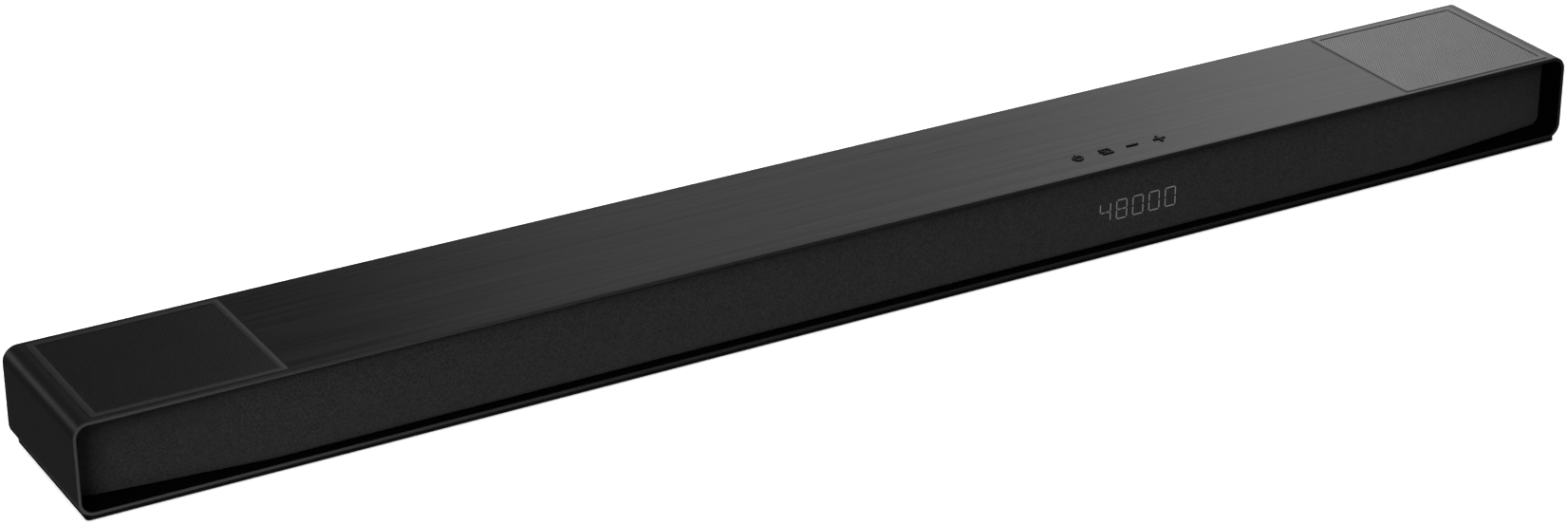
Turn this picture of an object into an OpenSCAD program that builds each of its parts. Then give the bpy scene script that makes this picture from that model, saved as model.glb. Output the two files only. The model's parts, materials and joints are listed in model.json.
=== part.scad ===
// Slim living-room soundbar: a seamless sleeve around a fabric-fronted speaker
// chassis, with a brushed top plate, two up-firing grilles and four glyph keys.
// The origin is the centre of the footprint, on the surface the bar stands on.
// +X is the listener's right, -Y is the front and +Z is up.

/* [Sleeve] */
// Length of the sleeve
bar_len = 1000; // [960:1:1100]
// Depth of the sleeve, front to back
bar_depth = 106; // [104:0.5:112]
// Height of the sleeve
sleeve_h = 55.6; // [55:0.2:60]
// Outer radius of the sleeve's four long edges
corner_r = 9.2; // [8:0.2:12]
// Wall thickness of the sleeve
wall = 2.2; // [2:0.1:2.4]

/* [Base] */
// Height of the rubber feet below the base plate
foot_h = 0.8; // [0.5:0.1:2]
// Thickness of the base plate
base_t = 2; // [1.8:0.1:3]
// How far the base plate stops short of the sleeve's ends
base_inset = 4; // [3:0.5:10]

/* [Front] */
// How far the fabric sits behind the sleeve's front edge
fabric_recess = 5; // [3:0.5:7]
// Distance from the centre to where the front starts to slant back
kink_x = 385; // [380:1:387]
// Angle of the slanted ends of the front
end_angle = 6; // [2:0.5:7]

/* [Top] */
// Distance from the centre to the inner edge of each top grille
grille_x = 376; // [372:1:380]
// Width of each top grille along the bar
grille_w = 112; // [100:1:112]
// Depth of each top grille, front to back
grille_d = 99.6; // [90:0.2:100]
// Smooth border around the perforated field
grille_border = 4; // [3:0.5:6]

/* [Keys] */
// Place of the first key along the bar
key_x = 143.4; // [120:0.2:160]
// Spacing of the four keys
key_pitch = 19.6; // [18:0.2:22]
// Distance of the key row from the bar's centre line, towards the front
key_row = 31.3; // [28:0.1:34]
// How far a key can be pressed
key_travel = 0.6; // [0.3:0.1:0.6]
// How far a key's glyph stands above the top plate
glyph_proud = 0.7; // [0.6:0.1:1.2]

/* [Loudspeakers] */
// Distance from the centre to the outer front drivers
front_driver_x = 290; // [280:1:300]
// Travel of a driver's cone each way
cone_travel = 2.5; // [1:0.5:2.5]

/* [Hidden] */
$fn = 64;
eps = 0.1;

// Levels and faces of the cabinet
base_z = foot_h;
sleeve_z = base_z + base_t;
top_z = sleeve_z + sleeve_h;
mid_z = (sleeve_z + top_z) / 2;
floor_z = sleeve_z + wall;
ceiling_z = top_z - wall;
front_y = -bar_depth / 2;
rear_y = bar_depth / 2;
inner_len = bar_len - 2 * wall;
inner_h = sleeve_h - 2 * wall;
fit_gap = 0.4;

// Base plate, its feet and the cooling slots above it
base_rear_gap = 0.8;
base_corner_r = 2;
foot_len = 60;
foot_w = 10;
foot_corner_r = 2.8;
foot_sunk = 0.8;
foot_gap = 0.2;
foot_end = 80;
foot_side = 14;
vent_count = 12;
vent_x = -216;
vent_pitch = 6;
vent_w = 2;
vent_y = [2, 24];

// Pillars, bosses and lugs moulded inside the sleeve
standoff_r = 3;
standoff_pilot = 5;
boss_r = 3.5;
boss_h = 8;
hanger_r = 2.6;
lug_w = 8;
lug_len = 9;

// Front frame and fabric
fabric_t = 0.8;
frame_t = 3;

// Top plate and grilles
plate_t = 0.8;
plate_margin = 1.4;
plate_len = 2 * (grille_x - 1.6);
grille_t = 1;
grille_proud = 0.3;
grille_gap = 0.1;
grille_corner_r = 2;
field_corner_r = 1;
grille_cx = grille_x + grille_w / 2;

// Rear panel and connector bay
rear_panel_t = 3;
rear_recess = 3;
panel_y = rear_y - rear_recess;
bay_w = 220;
bay_h = 30;
bay_depth = 29;
bay_wall = 2;
bay_corner_r = 2;
bay_z = floor_z + 24.6;
bay_y = panel_y - bay_depth;
socket_face_y = bay_y + bay_wall + 0.6;
insert_x = 300;
insert_r = 4;
insert_len = 10;
insert_thread_r = 2.1;
insert_fit = 0.05;
insert_boss_wall = 3;
insert_backing = 2;

// Circuit boards
board_t = 1.6;
board_low_z = floor_z + 4;
main_board_z = floor_z + 14.4;
key_board_z = ceiling_z - 9.8;

// Sockets: body and mouth are width, depth and height; a tongue is width, bottom and top
hdmi_body = [15, 13, 5.8];
hdmi_mouth = [13.9, 10, 4.5];
hdmi_tongue = [11, -0.4, 0.4];
usb_body = [13.2, 14, 5.8];
usb_mouth = [12.5, 12, 5];
usb_tongue = [10, -0.2, 1.6];
optical_body = [9.8, 14, 10];
optical_mouth = [6, 10, 6];
socket_gap = 0.2;
contact_setback = 2;
hdmi_z = main_board_z + board_t + hdmi_body.z / 2;
optical_z = main_board_z + board_t + optical_body.z / 2;
HDMI_X = [-85, -60];
optical_x = -34;
usb_x = -8;

// Mains inlet
inlet_x = 80;
inlet_body = [22, 17, 12];
inlet_well = 14;
inlet_straight = 9;
inlet_mouth_r = 4.3;
inlet_flange = [30, 18];
inlet_flange_r = 2;
inlet_proud = 1.4;
pin_x = 4.3;
pin_r = 1.2;

// Parts on the low boards
amp_chip_h = 2;
sink_at = [-212, 2];
sink_size = [60, 20];
sink_base_t = 3;
fin_count = 10;
fin_pitch = 6.4;
fin_t = 2.4;
fin_h = 17;
core_at = [142, 4];
core_size = [26, 20, 22];
core_leg = 4;
core_foot = 3;
winding_w = 12;
winding_proud = 2;
CAPACITORS = [[180, 6], [196, 20], [180, 23]];
capacitor_r = 6.5;
capacitor_h = 24;
wireless_at = [14, -8];
wireless_size = [18, 14, 2.4];

// Speaker leads: from the boards outwards along the floor, then up
lead_r = 1.6;
lead_gap = 0.2;
lead_near_x = 246;
lead_far_x = 416;
lead_y = 26;
lead_top_z = floor_z + 16;

// Screws
case_shank_r = 1.4;
case_head_r = 2.8;
inner_shank_r = 1.25;
inner_head_r = 2.3;
screw_head_h = 1.4;
case_screw_len = 8;
inner_screw_len = 4;
pilot_gap = 0.1;
head_gap = 0.2;

// Keys
key_pad = 11;
key_opening = 12;
key_pad_t = 2;
key_pad_corner_r = 1;
key_pad_gap = 0.05;
key_pad_z = top_z - plate_t - key_pad_gap - key_pad_t;
key_post_r = 1.5;
stem_r = 1.7;
stem_len = 3.6;
switch_size = 6;
switch_h = 3.5;
switch_floor = 0.3;
stem_gap = 0.08;
stem_lift = 0.1;
stem_z = key_board_z + board_t + switch_floor + key_travel + stem_lift;
stem_top_z = stem_z + stem_len;
glyph_gap = 0.25;
glyph_stroke = 1.3;
glyph_r = 3.5;
glyph_len = 8;

// Display
display_x = 176.6;
display_z = sleeve_z + 24.4;
display_w = 66;
display_h = 22;
display_gap = 0.3;
display_window_t = 0.8;
display_board_shift = 4;
display_board_size = [display_w + 22, display_h + 6];
display_face_y = front_y + fabric_recess + fabric_t;
digit_y = display_face_y + 1;
digit_pitch = 11.8;
digit_w = 11.4;
digit_h = 17;
digit_t = 3.4;
digit_count = 5;
ir_x = display_x + 41;
ir_opening = 8;
ir_body = [6, 7];
ir_body_t = 2.6;
ir_lens_r = 1.5;
ir_lens_sunk = 0.6;

// Drivers: name, x, turn about Z, straight length, cone opening radius, fires upwards
end_driver_x = 441;
up_driver_y = 14.5;
up_driver_r = 26;
flange_t = 2;
flange_margin = [8, 6];
flange_corner_r = 3;
land_t = 0.6;
land_w = 1.2;
roll_w = 3.2;
basket_depth = 12;
basket_wall = 1;
magnet_t = 10;
magnet_floor = 2;
coil_r = 10;
coil_t = 0.5;
coil_gap = 0.7;
coil_hole_gap = 1.5;
coil_top = -8.4;
coil_end = magnet_floor + 1.5 + cone_travel - basket_depth - flange_t - magnet_t;
cone_back = coil_top - 0.2;
seat_t = 2.2;
up_opening_r = 26.4;
up_pad = [64, 60];
DRIVERS = [
    ["left_end", -end_driver_x, -end_angle, 52, 20, false],
    ["left_front", -front_driver_x, 0, 52, 20, false],
    ["centre_front", 0, 0, 52, 20, false],
    ["right_front", front_driver_x, 0, 52, 20, false],
    ["right_end", end_driver_x, end_angle, 52, 20, false],
    ["left_up", -grille_cx, 0, 0, up_driver_r, true],
    ["right_up", grille_cx, 0, 0, up_driver_r, true],
];
KEYS = ["power", "source", "volume_down", "volume_up"];

// Fixing points
BASE_SCREWS = [for (x = [-470, -350, -255, 255, 350, 470], y = [-14, 40]) [x, y]];
REAR_SCREWS = [for (x = [-480, -330, -150, 150, 330, 480], z = [floor_z + 4, ceiling_z - 4]) [x, z]];

// Boards: x low, x high, y low, y high, underside
MAIN_BOARD = [-105, 45, -14, 18.6, main_board_z];
AMP_BOARD = [-240, -122, -8, 34, board_low_z];
POWER_BOARD = [122, 232, -8, 34, board_low_z];
LOW_BOARDS = [MAIN_BOARD, AMP_BOARD, POWER_BOARD];
key_board_end = 14;
key_board_front = 8;
key_board_back = 10;
key_board_x0 = key_x - key_board_end;
key_board_x1 = key_x + 3 * key_pitch + key_board_end;
KEY_BOARD_SCREWS = [[key_board_x0 + 3, -key_row + 1], [key_board_x1 - 3, -key_row + 1]];

// ---- shared shapes ----

// Rectangle with true arcs at its corners, centred
module rounded_rect(w, h, r) {
    square([w - 2 * r, h], center = true);
    square([w, h - 2 * r], center = true);
    for (x = [-1, 1], y = [-1, 1])
        translate([x * (w / 2 - r), y * (h / 2 - r)]) circle(r);
}

// Two half circles joined by a straight stretch along X, or one circle with no stretch
module stadium(straight, r) {
    if (straight == 0)
        circle(r);
    else {
        square([straight, 2 * r], center = true);
        for (x = [-1, 1])
            translate([x * straight / 2, 0]) circle(r);
    }
}

// Raises a 2D outline in X and Z into a slab from y0 to y1
module along_y(y0, y1) {
    translate([0, y1, 0]) rotate([90, 0, 0]) linear_extrude(y1 - y0) children();
}

// Box given by its low and high corners
module block(lo, hi) {
    translate(lo) cube(hi - lo);
}

// Upright cylinder from z0 to z1
module post(x, y, z0, z1, r) {
    translate([x, y, z0]) cylinder(h = z1 - z0, r = r);
}

// Cylinder along +Y from y0 to y1
module rod_y(x, z, y0, y1, r) {
    translate([x, y0, z]) rotate([-90, 0, 0]) cylinder(h = y1 - y0, r = r);
}

// Outline of the space inside the sleeve, less a gap all round
module inner_outline(gap) {
    translate([0, mid_z])
        rounded_rect(inner_len - 2 * gap, inner_h - 2 * gap, corner_r - wall - gap);
}

// y of the front of the fabric at a place along the bar
function fabric_y(x) = front_y + fabric_recess + max(0, abs(x) - kink_x) * tan(end_angle);

// Plan of a band that follows the kinked front, between two depths behind the fabric's face
module front_band(near, far) {
    xs = [-bar_len / 2, -kink_x, kink_x, bar_len / 2];
    polygon(concat(
        [for (x = xs) [x, fabric_y(x) + near]],
        [for (i = [3:-1:0]) [xs[i], fabric_y(xs[i]) + far]]
    ));
}

// Slab behind the kinked front that fits inside the sleeve
module front_slab(near, far, gap) {
    intersection() {
        linear_extrude(top_z) front_band(near, far);
        along_y(front_y, rear_y) inner_outline(gap);
    }
}

// Screw with a flat head at z = 0, its shank pointing up
module screw(head_r, shank_r, length) {
    cylinder(h = screw_head_h, r = head_r);
    cylinder(h = screw_head_h + length, r = shank_r);
}

// Screw positions on a board: one near each corner
function board_corners(b) = [for (x = [b[0] + 4, b[1] - 4], y = [b[2] + 4, b[3] - 4]) [x, y]];

// Flat board with a screw hole near each corner
module board(b) {
    difference() {
        block([b[0], b[2], b[4]], [b[1], b[3], b[4] + board_t]);
        for (p = board_corners(b))
            post(p[0], p[1], b[4] - eps, b[4] + board_t + eps, inner_shank_r + pilot_gap);
    }
}

// Small chips on the board's top: x, y, width, depth, height
module chips(b, list) {
    for (c = list)
        translate([c[0], c[1], b[4] + board_t]) cube([c[2], c[3], c[4]]);
}

// ---- cabinet ----

// Pillar under a board's corner, with its pilot hole
module standoff(x, y, z1) {
    difference() {
        post(x, y, floor_z - eps, z1, standoff_r);
        post(x, y, z1 - standoff_pilot, z1 + eps, inner_shank_r + pilot_gap);
    }
}

// Pad round an up-firing driver's opening
module up_driver_pad(side) {
    seat_z = ceiling_z - seat_t;
    translate([side * grille_cx, up_driver_y, 0])
        difference() {
            translate([0, 0, seat_z]) linear_extrude(seat_t + eps)
                square(up_pad, center = true);
            post(0, 0, seat_z - 1, ceiling_z + 1, up_opening_r);
            for (p = flange_screws(0, up_driver_r))
                post(p[0], p[1], seat_z - 1, ceiling_z, inner_shank_r + pilot_gap);
        }
}

// Lug that a rear panel screw bites into
module rear_lug(x, z) {
    back = panel_y - rear_panel_t;
    difference() {
        along_y(back - lug_len, back) translate([x, z]) square([lug_w, lug_w + 2 * eps], center = true);
        rod_y(x, z, back - lug_len + 1, panel_y, case_shank_r + pilot_gap);
    }
}

// Boss on the sleeve's floor for a base screw
module base_boss(p) {
    difference() {
        post(p[0], p[1], floor_z - eps, floor_z + boss_h, boss_r);
        post(p[0], p[1], floor_z - 1, floor_z + boss_h - 1, case_shank_r + pilot_gap);
    }
}

// Cooling slots under the amplifier, as a cut through a range of heights
module vents(z0, z1) {
    for (i = [0:vent_count - 1])
        translate([vent_x + i * vent_pitch, 0, 0])
            block([0, vent_y[0], z0], [vent_w, vent_y[1], z1]);
}

module outer_sleeve() {
    color([0.045, 0.045, 0.05]) {
        difference() {
            along_y(front_y, rear_y) translate([0, mid_z]) rounded_rect(bar_len, sleeve_h, corner_r);
            along_y(front_y - 1, rear_y + 1) inner_outline(0);
            block([-plate_len / 2, front_y + plate_margin, top_z - plate_t],
                  [plate_len / 2, rear_y - plate_margin, top_z + 1]);
            for (side = [-1, 1]) {
                translate([side * grille_cx, 0, top_z - grille_t])
                    linear_extrude(grille_t + 1)
                        rounded_rect(grille_w + 2 * grille_gap, grille_d + 2 * grille_gap, grille_corner_r);
                post(side * grille_cx, up_driver_y, ceiling_z - 1, top_z, up_opening_r);
            }
            for (i = [0:3])
                translate([key_x + i * key_pitch, -key_row, mid_z])
                    linear_extrude(sleeve_h) square(key_opening, center = true);
            for (p = BASE_SCREWS)
                post(p[0], p[1], sleeve_z - 1, floor_z + 1, case_shank_r + pilot_gap);
            vents(sleeve_z - 1, floor_z + 1);
        }
        for (b = LOW_BOARDS, p = board_corners(b)) standoff(p[0], p[1], b[4]);
        for (side = [-1, 1]) up_driver_pad(side);
        for (p = REAR_SCREWS) rear_lug(p[0], p[1]);
        for (p = BASE_SCREWS) base_boss(p);
        for (p = KEY_BOARD_SCREWS) key_board_boss(p);
    }
}

// Pillar hanging from the sleeve's ceiling that carries the key board
module key_board_boss(p) {
    foot = key_board_z + board_t;
    difference() {
        post(p[0], p[1], foot, ceiling_z + eps, hanger_r);
        post(p[0], p[1], foot - 1, foot + inner_screw_len, inner_shank_r + pilot_gap);
    }
}

// Place of the rubber feet
function feet() = [for (x = [-1, 1], y = [-1, 1])
    [x * (bar_len / 2 - foot_end), y * (bar_depth / 2 - foot_side)]];

module base_plate() {
    color([0.03, 0.03, 0.033])
    difference() {
        translate([0, -base_rear_gap / 2, base_z]) linear_extrude(base_t)
            rounded_rect(bar_len - 2 * base_inset, bar_depth - base_rear_gap, base_corner_r);
        for (p = feet())
            translate([p[0], p[1], base_z - eps]) linear_extrude(foot_sunk + eps)
                rounded_rect(foot_len + 2 * foot_gap, foot_w + 2 * foot_gap, foot_corner_r + foot_gap);
        for (p = BASE_SCREWS) {
            post(p[0], p[1], base_z - eps, base_z + screw_head_h + pilot_gap, case_head_r + head_gap);
            post(p[0], p[1], base_z, base_z + base_t + eps, case_shank_r + pilot_gap);
        }
        vents(base_z - eps, sleeve_z + eps);
    }
}

module rubber_feet() {
    color([0.06, 0.06, 0.06])
    for (p = feet())
        translate([p[0], p[1], 0]) linear_extrude(base_z + foot_sunk)
            rounded_rect(foot_len, foot_w, foot_corner_r);
}

module rear_panel() {
    color([0.05, 0.05, 0.055])
    difference() {
        union() {
            along_y(panel_y - rear_panel_t, panel_y) inner_outline(fit_gap);
            along_y(bay_y, panel_y - 1) translate([0, bay_z])
                rounded_rect(bay_w + 2 * bay_wall, bay_h + 2 * bay_wall, bay_corner_r + bay_wall);
            for (x = [-insert_x, insert_x])
                rod_y(x, mid_z, panel_y - insert_len - insert_backing, panel_y - 1,
                      insert_r + insert_boss_wall);
        }
        along_y(bay_y + bay_wall, panel_y + 1) translate([0, bay_z])
            rounded_rect(bay_w, bay_h, bay_corner_r);
        for (x = [-insert_x, insert_x])
            rod_y(x, mid_z, panel_y - insert_len, panel_y + 1, insert_r + insert_fit);
        for (p = REAR_SCREWS) {
            rod_y(p[0], p[1], panel_y - rear_panel_t - 1, panel_y + 1, case_shank_r + pilot_gap);
            rod_y(p[0], p[1], panel_y - screw_head_h - pilot_gap, panel_y + 1, case_head_r + head_gap);
        }
        socket_windows();
    }
}

// Outline of the window that a socket's body passes through
module socket_window(x, z, body) {
    translate([x, z]) square([body.x + 2 * socket_gap, body.z + 2 * socket_gap], center = true);
}

// Windows in the back wall of the connector bay
module socket_windows() {
    along_y(bay_y - 1, bay_y + bay_wall + 1) {
        for (x = HDMI_X) socket_window(x, hdmi_z, hdmi_body);
        socket_window(usb_x, hdmi_z, usb_body);
        socket_window(optical_x, optical_z, optical_body);
        socket_window(inlet_x, bay_z, inlet_body);
    }
}

// ---- top ----

// Power mark: a ring open at the top, with a stroke in the gap
module power_glyph(grow) {
    gap_w = 3.4;
    gap_top = 6;
    stroke_len = 3.4;
    stroke_y = 2.4;
    difference() {
        circle(glyph_r + grow);
        circle(glyph_r - glyph_stroke - grow);
        polygon([[0, 0], [-gap_w + grow, gap_top], [gap_w - grow, gap_top]]);
    }
    translate([0, stroke_y])
        square([glyph_stroke + 2 * grow, stroke_len + 2 * grow], center = true);
}

// Source mark: a frame open at the left, with an arrow that points into it
module source_glyph(grow) {
    outer = [7.4, 6.6];
    inner = [4.8, 4.2];
    mouth = [3, 3.4];
    shaft = [3.6, 0.9];
    head = [-0.4, 1.2, 1.1];
    frame_x = 0.6;
    difference() {
        translate([frame_x, 0]) square([outer.x + 2 * grow, outer.y + 2 * grow], center = true);
        translate([frame_x, 0]) square([inner.x - 2 * grow, inner.y - 2 * grow], center = true);
        translate([-mouth.x, 0]) square([mouth.x, mouth.y - 2 * grow], center = true);
    }
    translate([-2.1, 0]) square([shaft.x + 2 * grow, shaft.y + 2 * grow], center = true);
    polygon([
        [head[0] - grow, -head[2] - grow], [head[1] + grow, -grow],
        [head[1] + grow, grow], [head[0] - grow, head[2] + grow]
    ]);
}

// Outline of one key's glyph, grown all round by a gap
module glyph(i, grow) {
    stroke = glyph_stroke + 2 * grow;
    length = glyph_len + 2 * grow;
    if (i == 0) power_glyph(grow);
    if (i == 1) source_glyph(grow);
    if (i >= 2) square([length, stroke], center = true);
    if (i == 3) square([stroke, length], center = true);
}

module top_plate() {
    color([0.10, 0.10, 0.105])
    difference() {
        block([-plate_len / 2, front_y + plate_margin, top_z - plate_t],
              [plate_len / 2, rear_y - plate_margin, top_z]);
        for (i = [0:3])
            translate([key_x + i * key_pitch, -key_row, top_z - plate_t - eps])
                linear_extrude(plate_t + 2 * eps) glyph(i, glyph_gap);
    }
}

// Perforated insert: a raised border round a slightly lower field
module top_grille(side) {
    color([0.09, 0.09, 0.095])
    difference() {
        translate([side * grille_cx, 0, top_z - grille_t])
            linear_extrude(grille_t + grille_proud) rounded_rect(grille_w, grille_d, grille_corner_r);
        translate([side * grille_cx, 0, top_z])
            linear_extrude(1)
                rounded_rect(grille_w - 2 * grille_border, grille_d - 2 * grille_border, field_corner_r);
    }
}

// ---- front ----

// Places a child, drawn facing +Z, on a driver's seat
module on_seat(d) {
    if (d[5])
        translate([d[1], up_driver_y, ceiling_z - seat_t]) children();
    else
        translate([d[1], fabric_y(d[1]) + fabric_t + frame_t, mid_z])
            rotate([90, 0, d[2]]) children();
}

module front_frame() {
    color([0.03, 0.03, 0.03])
    difference() {
        front_slab(fabric_t, fabric_t + frame_t, fit_gap);
        for (d = DRIVERS)
            if (!d[5])
                on_seat(d) {
                    translate([0, 0, -2]) linear_extrude(frame_t + 6) stadium(d[3], d[4] + 0.4);
                    for (p = flange_screws(d[3], d[4]))
                        translate([p[0], p[1], -1]) cylinder(h = 1 + 2.6, r = inner_shank_r + pilot_gap);
                }
        along_y(front_y, 0) {
            translate([display_x, display_z])
                square([display_w + 2 * display_gap, display_h + 2 * display_gap], center = true);
            translate([ir_x, display_z]) square(ir_opening, center = true);
        }
    }
}

module front_fabric() {
    color([0.035, 0.035, 0.037])
    front_slab(0, fabric_t, fit_gap);
}

// ---- keys ----

// One key: a pad behind the top plate, the glyph through it and a post below
module key(i) {
    color([0.01, 0.01, 0.01])
    translate([key_x + i * key_pitch, -key_row, 0]) {
        translate([0, 0, key_pad_z]) linear_extrude(key_pad_t)
            rounded_rect(key_pad, key_pad, key_pad_corner_r);
        translate([0, 0, key_pad_z + key_pad_t - eps])
            linear_extrude(top_z + glyph_proud - key_pad_z - key_pad_t + eps) glyph(i, 0);
        post(0, 0, stem_top_z, key_pad_z + eps, key_post_r);
    }
}

module switch_stem(i) {
    color([0.75, 0.72, 0.65])
    post(key_x + i * key_pitch, -key_row, stem_z, stem_top_z, stem_r);
}

module key_switches() {
    color([0.55, 0.56, 0.58])
    for (i = [0:3])
        translate([key_x + i * key_pitch, -key_row, key_board_z + board_t])
            difference() {
                linear_extrude(switch_h) square(switch_size, center = true);
                translate([0, 0, switch_floor]) cylinder(h = switch_h, r = stem_r + stem_gap);
            }
}

module key_board() {
    color([0.05, 0.25, 0.12])
    difference() {
        block([key_board_x0, -key_row - key_board_front, key_board_z],
              [key_board_x1, -key_row + key_board_back, key_board_z + board_t]);
        for (p = KEY_BOARD_SCREWS)
            post(p[0], p[1], key_board_z - eps, key_board_z + board_t + eps, inner_shank_r + pilot_gap);
    }
}

// ---- display ----

module display_window() {
    color([0.08, 0.08, 0.09])
    along_y(display_face_y, display_face_y + display_window_t)
        translate([display_x, display_z]) square([display_w, display_h], center = true);
}

module display_digits() {
    color([0.85, 0.85, 0.82])
    for (i = [0:digit_count - 1])
        along_y(digit_y, digit_y + digit_t)
            translate([display_x + (i - (digit_count - 1) / 2) * digit_pitch, display_z])
                square([digit_w, digit_h], center = true);
}

module display_board() {
    color([0.05, 0.25, 0.12])
    along_y(digit_y + digit_t, digit_y + digit_t + board_t)
        translate([display_x + display_board_shift, display_z])
            square(display_board_size, center = true);
}

module remote_receiver() {
    back = digit_y + digit_t;
    face = back - ir_body_t;
    color([0.05, 0.02, 0.05]) {
        along_y(face, back) translate([ir_x, display_z]) square(ir_body, center = true);
        translate([ir_x, face + ir_lens_sunk, display_z]) sphere(r = ir_lens_r);
    }
}

// ---- electronics ----

module main_board() {
    color([0.05, 0.25, 0.12]) {
        board(MAIN_BOARD);
        chips(MAIN_BOARD, [[-70, -8, 16, 12, 1.4], [-40, -6, 9, 9, 1], [-20, -10, 12, 6, 1.2]]);
    }
}

module wireless_module() {
    color([0.7, 0.71, 0.72])
    translate([wireless_at.x, wireless_at.y, main_board_z + board_t]) cube(wireless_size);
}

module amplifier_board() {
    color([0.05, 0.25, 0.12]) {
        board(AMP_BOARD);
        chips(AMP_BOARD, [
            [-204, 6, 14, 10, amp_chip_h], [-174, 6, 14, 10, amp_chip_h],
            [-228, 20, 8, 8, 5], [-140, 8, 8, 14, 5]
        ]);
    }
}

// Finned block on the amplifier chips
module heat_sink() {
    color([0.6, 0.61, 0.63])
    translate([sink_at.x, sink_at.y, board_low_z + board_t + amp_chip_h]) {
        cube([sink_size.x, sink_size.y, sink_base_t]);
        for (i = [0:fin_count - 1])
            translate([i * fin_pitch, 0, sink_base_t - eps]) cube([fin_t, sink_size.y, fin_h + eps]);
    }
}

module power_board() {
    color([0.12, 0.28, 0.1]) {
        board(POWER_BOARD);
        chips(POWER_BOARD, [[128, 10, 8, 14, 12], [206, 0, 12, 8, 14]]);
    }
}

// Ferrite core wrapped round a winding
module transformer() {
    window_w = core_size.x - 2 * core_leg;
    window_h = core_size.z - core_leg - core_foot;
    color([0.25, 0.2, 0.12])
    translate([core_at.x, core_at.y, board_low_z + board_t]) {
        difference() {
            cube(core_size);
            translate([core_leg, -1, core_foot]) cube([window_w, core_size.y + 2, window_h]);
        }
        translate([(core_size.x - winding_w) / 2, -winding_proud, core_foot - eps])
            cube([winding_w, core_size.y + 2 * winding_proud, window_h + 2 * eps]);
    }
}

module capacitors() {
    z0 = board_low_z + board_t;
    color([0.08, 0.08, 0.14])
    for (p = CAPACITORS) post(p[0], p[1], z0, z0 + capacitor_h, capacitor_r);
}

// Box-shaped socket whose mouth opens to the rear, centred on X and Z
module socket(body, mouth) {
    difference() {
        block([-body.x / 2, socket_face_y - body.y, -body.z / 2],
              [body.x / 2, socket_face_y, body.z / 2]);
        block([-mouth.x / 2, socket_face_y - mouth.y, -mouth.z / 2],
              [mouth.x / 2, socket_face_y + 1, mouth.z / 2]);
    }
}

// Contact tongue that stands in a socket's mouth
module socket_tongue(tongue, mouth) {
    block([-tongue[0] / 2, socket_face_y - mouth.y - eps, tongue[1]],
          [tongue[0] / 2, socket_face_y - contact_setback, tongue[2]]);
}

module hdmi_sockets() {
    color([0.72, 0.73, 0.75])
    for (x = HDMI_X)
        translate([x, 0, hdmi_z]) {
            socket(hdmi_body, hdmi_mouth);
            socket_tongue(hdmi_tongue, hdmi_mouth);
        }
}

module usb_socket() {
    color([0.72, 0.73, 0.75])
    translate([usb_x, 0, hdmi_z]) {
        socket(usb_body, usb_mouth);
        socket_tongue(usb_tongue, usb_mouth);
    }
}

module optical_socket() {
    color([0.03, 0.03, 0.03])
    translate([optical_x, 0, optical_z]) socket(optical_body, optical_mouth);
}

// Two-pin appliance inlet, held by its flange in the back wall of the bay
module mains_inlet() {
    well_y = socket_face_y - inlet_well;
    color([0.02, 0.02, 0.02]) {
        difference() {
            union() {
                along_y(socket_face_y - inlet_body.y, socket_face_y) translate([inlet_x, bay_z])
                    square([inlet_body.x, inlet_body.z], center = true);
                along_y(bay_y + bay_wall, socket_face_y + inlet_proud) translate([inlet_x, bay_z])
                    rounded_rect(inlet_flange.x, inlet_flange.y, inlet_flange_r);
            }
            along_y(well_y, socket_face_y + 3) translate([inlet_x, bay_z])
                stadium(inlet_straight, inlet_mouth_r);
        }
        for (side = [-1, 1])
            rod_y(inlet_x + side * pin_x, bay_z, well_y - eps, socket_face_y - contact_setback, pin_r);
    }
}

// Leads from the amplifier and power boards to the end drivers, along the floor
module speaker_leads() {
    lead_z = floor_z + lead_r + lead_gap;
    color([0.5, 0.05, 0.05])
    for (side = [-1, 1]) {
        translate([side * lead_near_x, lead_y, lead_z])
            rotate([0, side * 90, 0]) cylinder(h = lead_far_x - lead_near_x, r = lead_r);
        post(side * lead_far_x, lead_y, lead_z, lead_top_z, lead_r);
        translate([side * lead_far_x, lead_y, lead_z]) sphere(r = lead_r);
    }
}

// ---- fasteners ----

module case_screws() {
    color([0.1, 0.1, 0.11]) {
        for (p = BASE_SCREWS)
            translate([p[0], p[1], base_z]) screw(case_head_r, case_shank_r, case_screw_len);
        for (p = REAR_SCREWS)
            translate([p[0], panel_y, p[1]]) rotate([90, 0, 0])
                screw(case_head_r, case_shank_r, case_screw_len);
    }
}

module inner_screws() {
    color([0.65, 0.66, 0.68]) {
        for (b = LOW_BOARDS, p = board_corners(b))
            translate([p[0], p[1], b[4] + board_t + screw_head_h]) rotate([180, 0, 0])
                screw(inner_head_r, inner_shank_r, inner_screw_len);
        for (p = KEY_BOARD_SCREWS)
            translate([p[0], p[1], key_board_z - screw_head_h])
                screw(inner_head_r, inner_shank_r, inner_screw_len);
        for (d = DRIVERS, p = flange_screws(d[3], d[4]))
            on_seat(d) translate([p[0], p[1], -flange_t - screw_head_h])
                screw(inner_head_r, inner_shank_r, inner_screw_len);
    }
}

module wall_mount_inserts() {
    color([0.75, 0.6, 0.3])
    for (x = [-insert_x, insert_x])
        difference() {
            rod_y(x, mid_z, panel_y - insert_len, panel_y, insert_r);
            rod_y(x, mid_z, panel_y - insert_len - 1, panel_y + 1, insert_thread_r);
        }
}

// ---- loudspeaker drivers, drawn facing +Z with the flange's face at z = 0 ----

function flange_screws(straight, r) = [for (x = [-1, 1], y = [-1, 1])
    [x * (straight / 2 + r), y * (r - 0.8)]];

// Sweeps a profile of radius and height round a stadium, or round a circle
module sweep(straight) {
    if (straight == 0)
        rotate_extrude() children();
    else
        for (side = [0, 180])
            rotate([0, 0, side]) {
                translate([straight / 2, 0, 0]) rotate([0, 0, -90])
                    rotate_extrude(angle = 180) children();
                translate([-straight / 2, 0, 0]) rotate([90, 0, 90]) linear_extrude(straight) children();
            }
}

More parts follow.
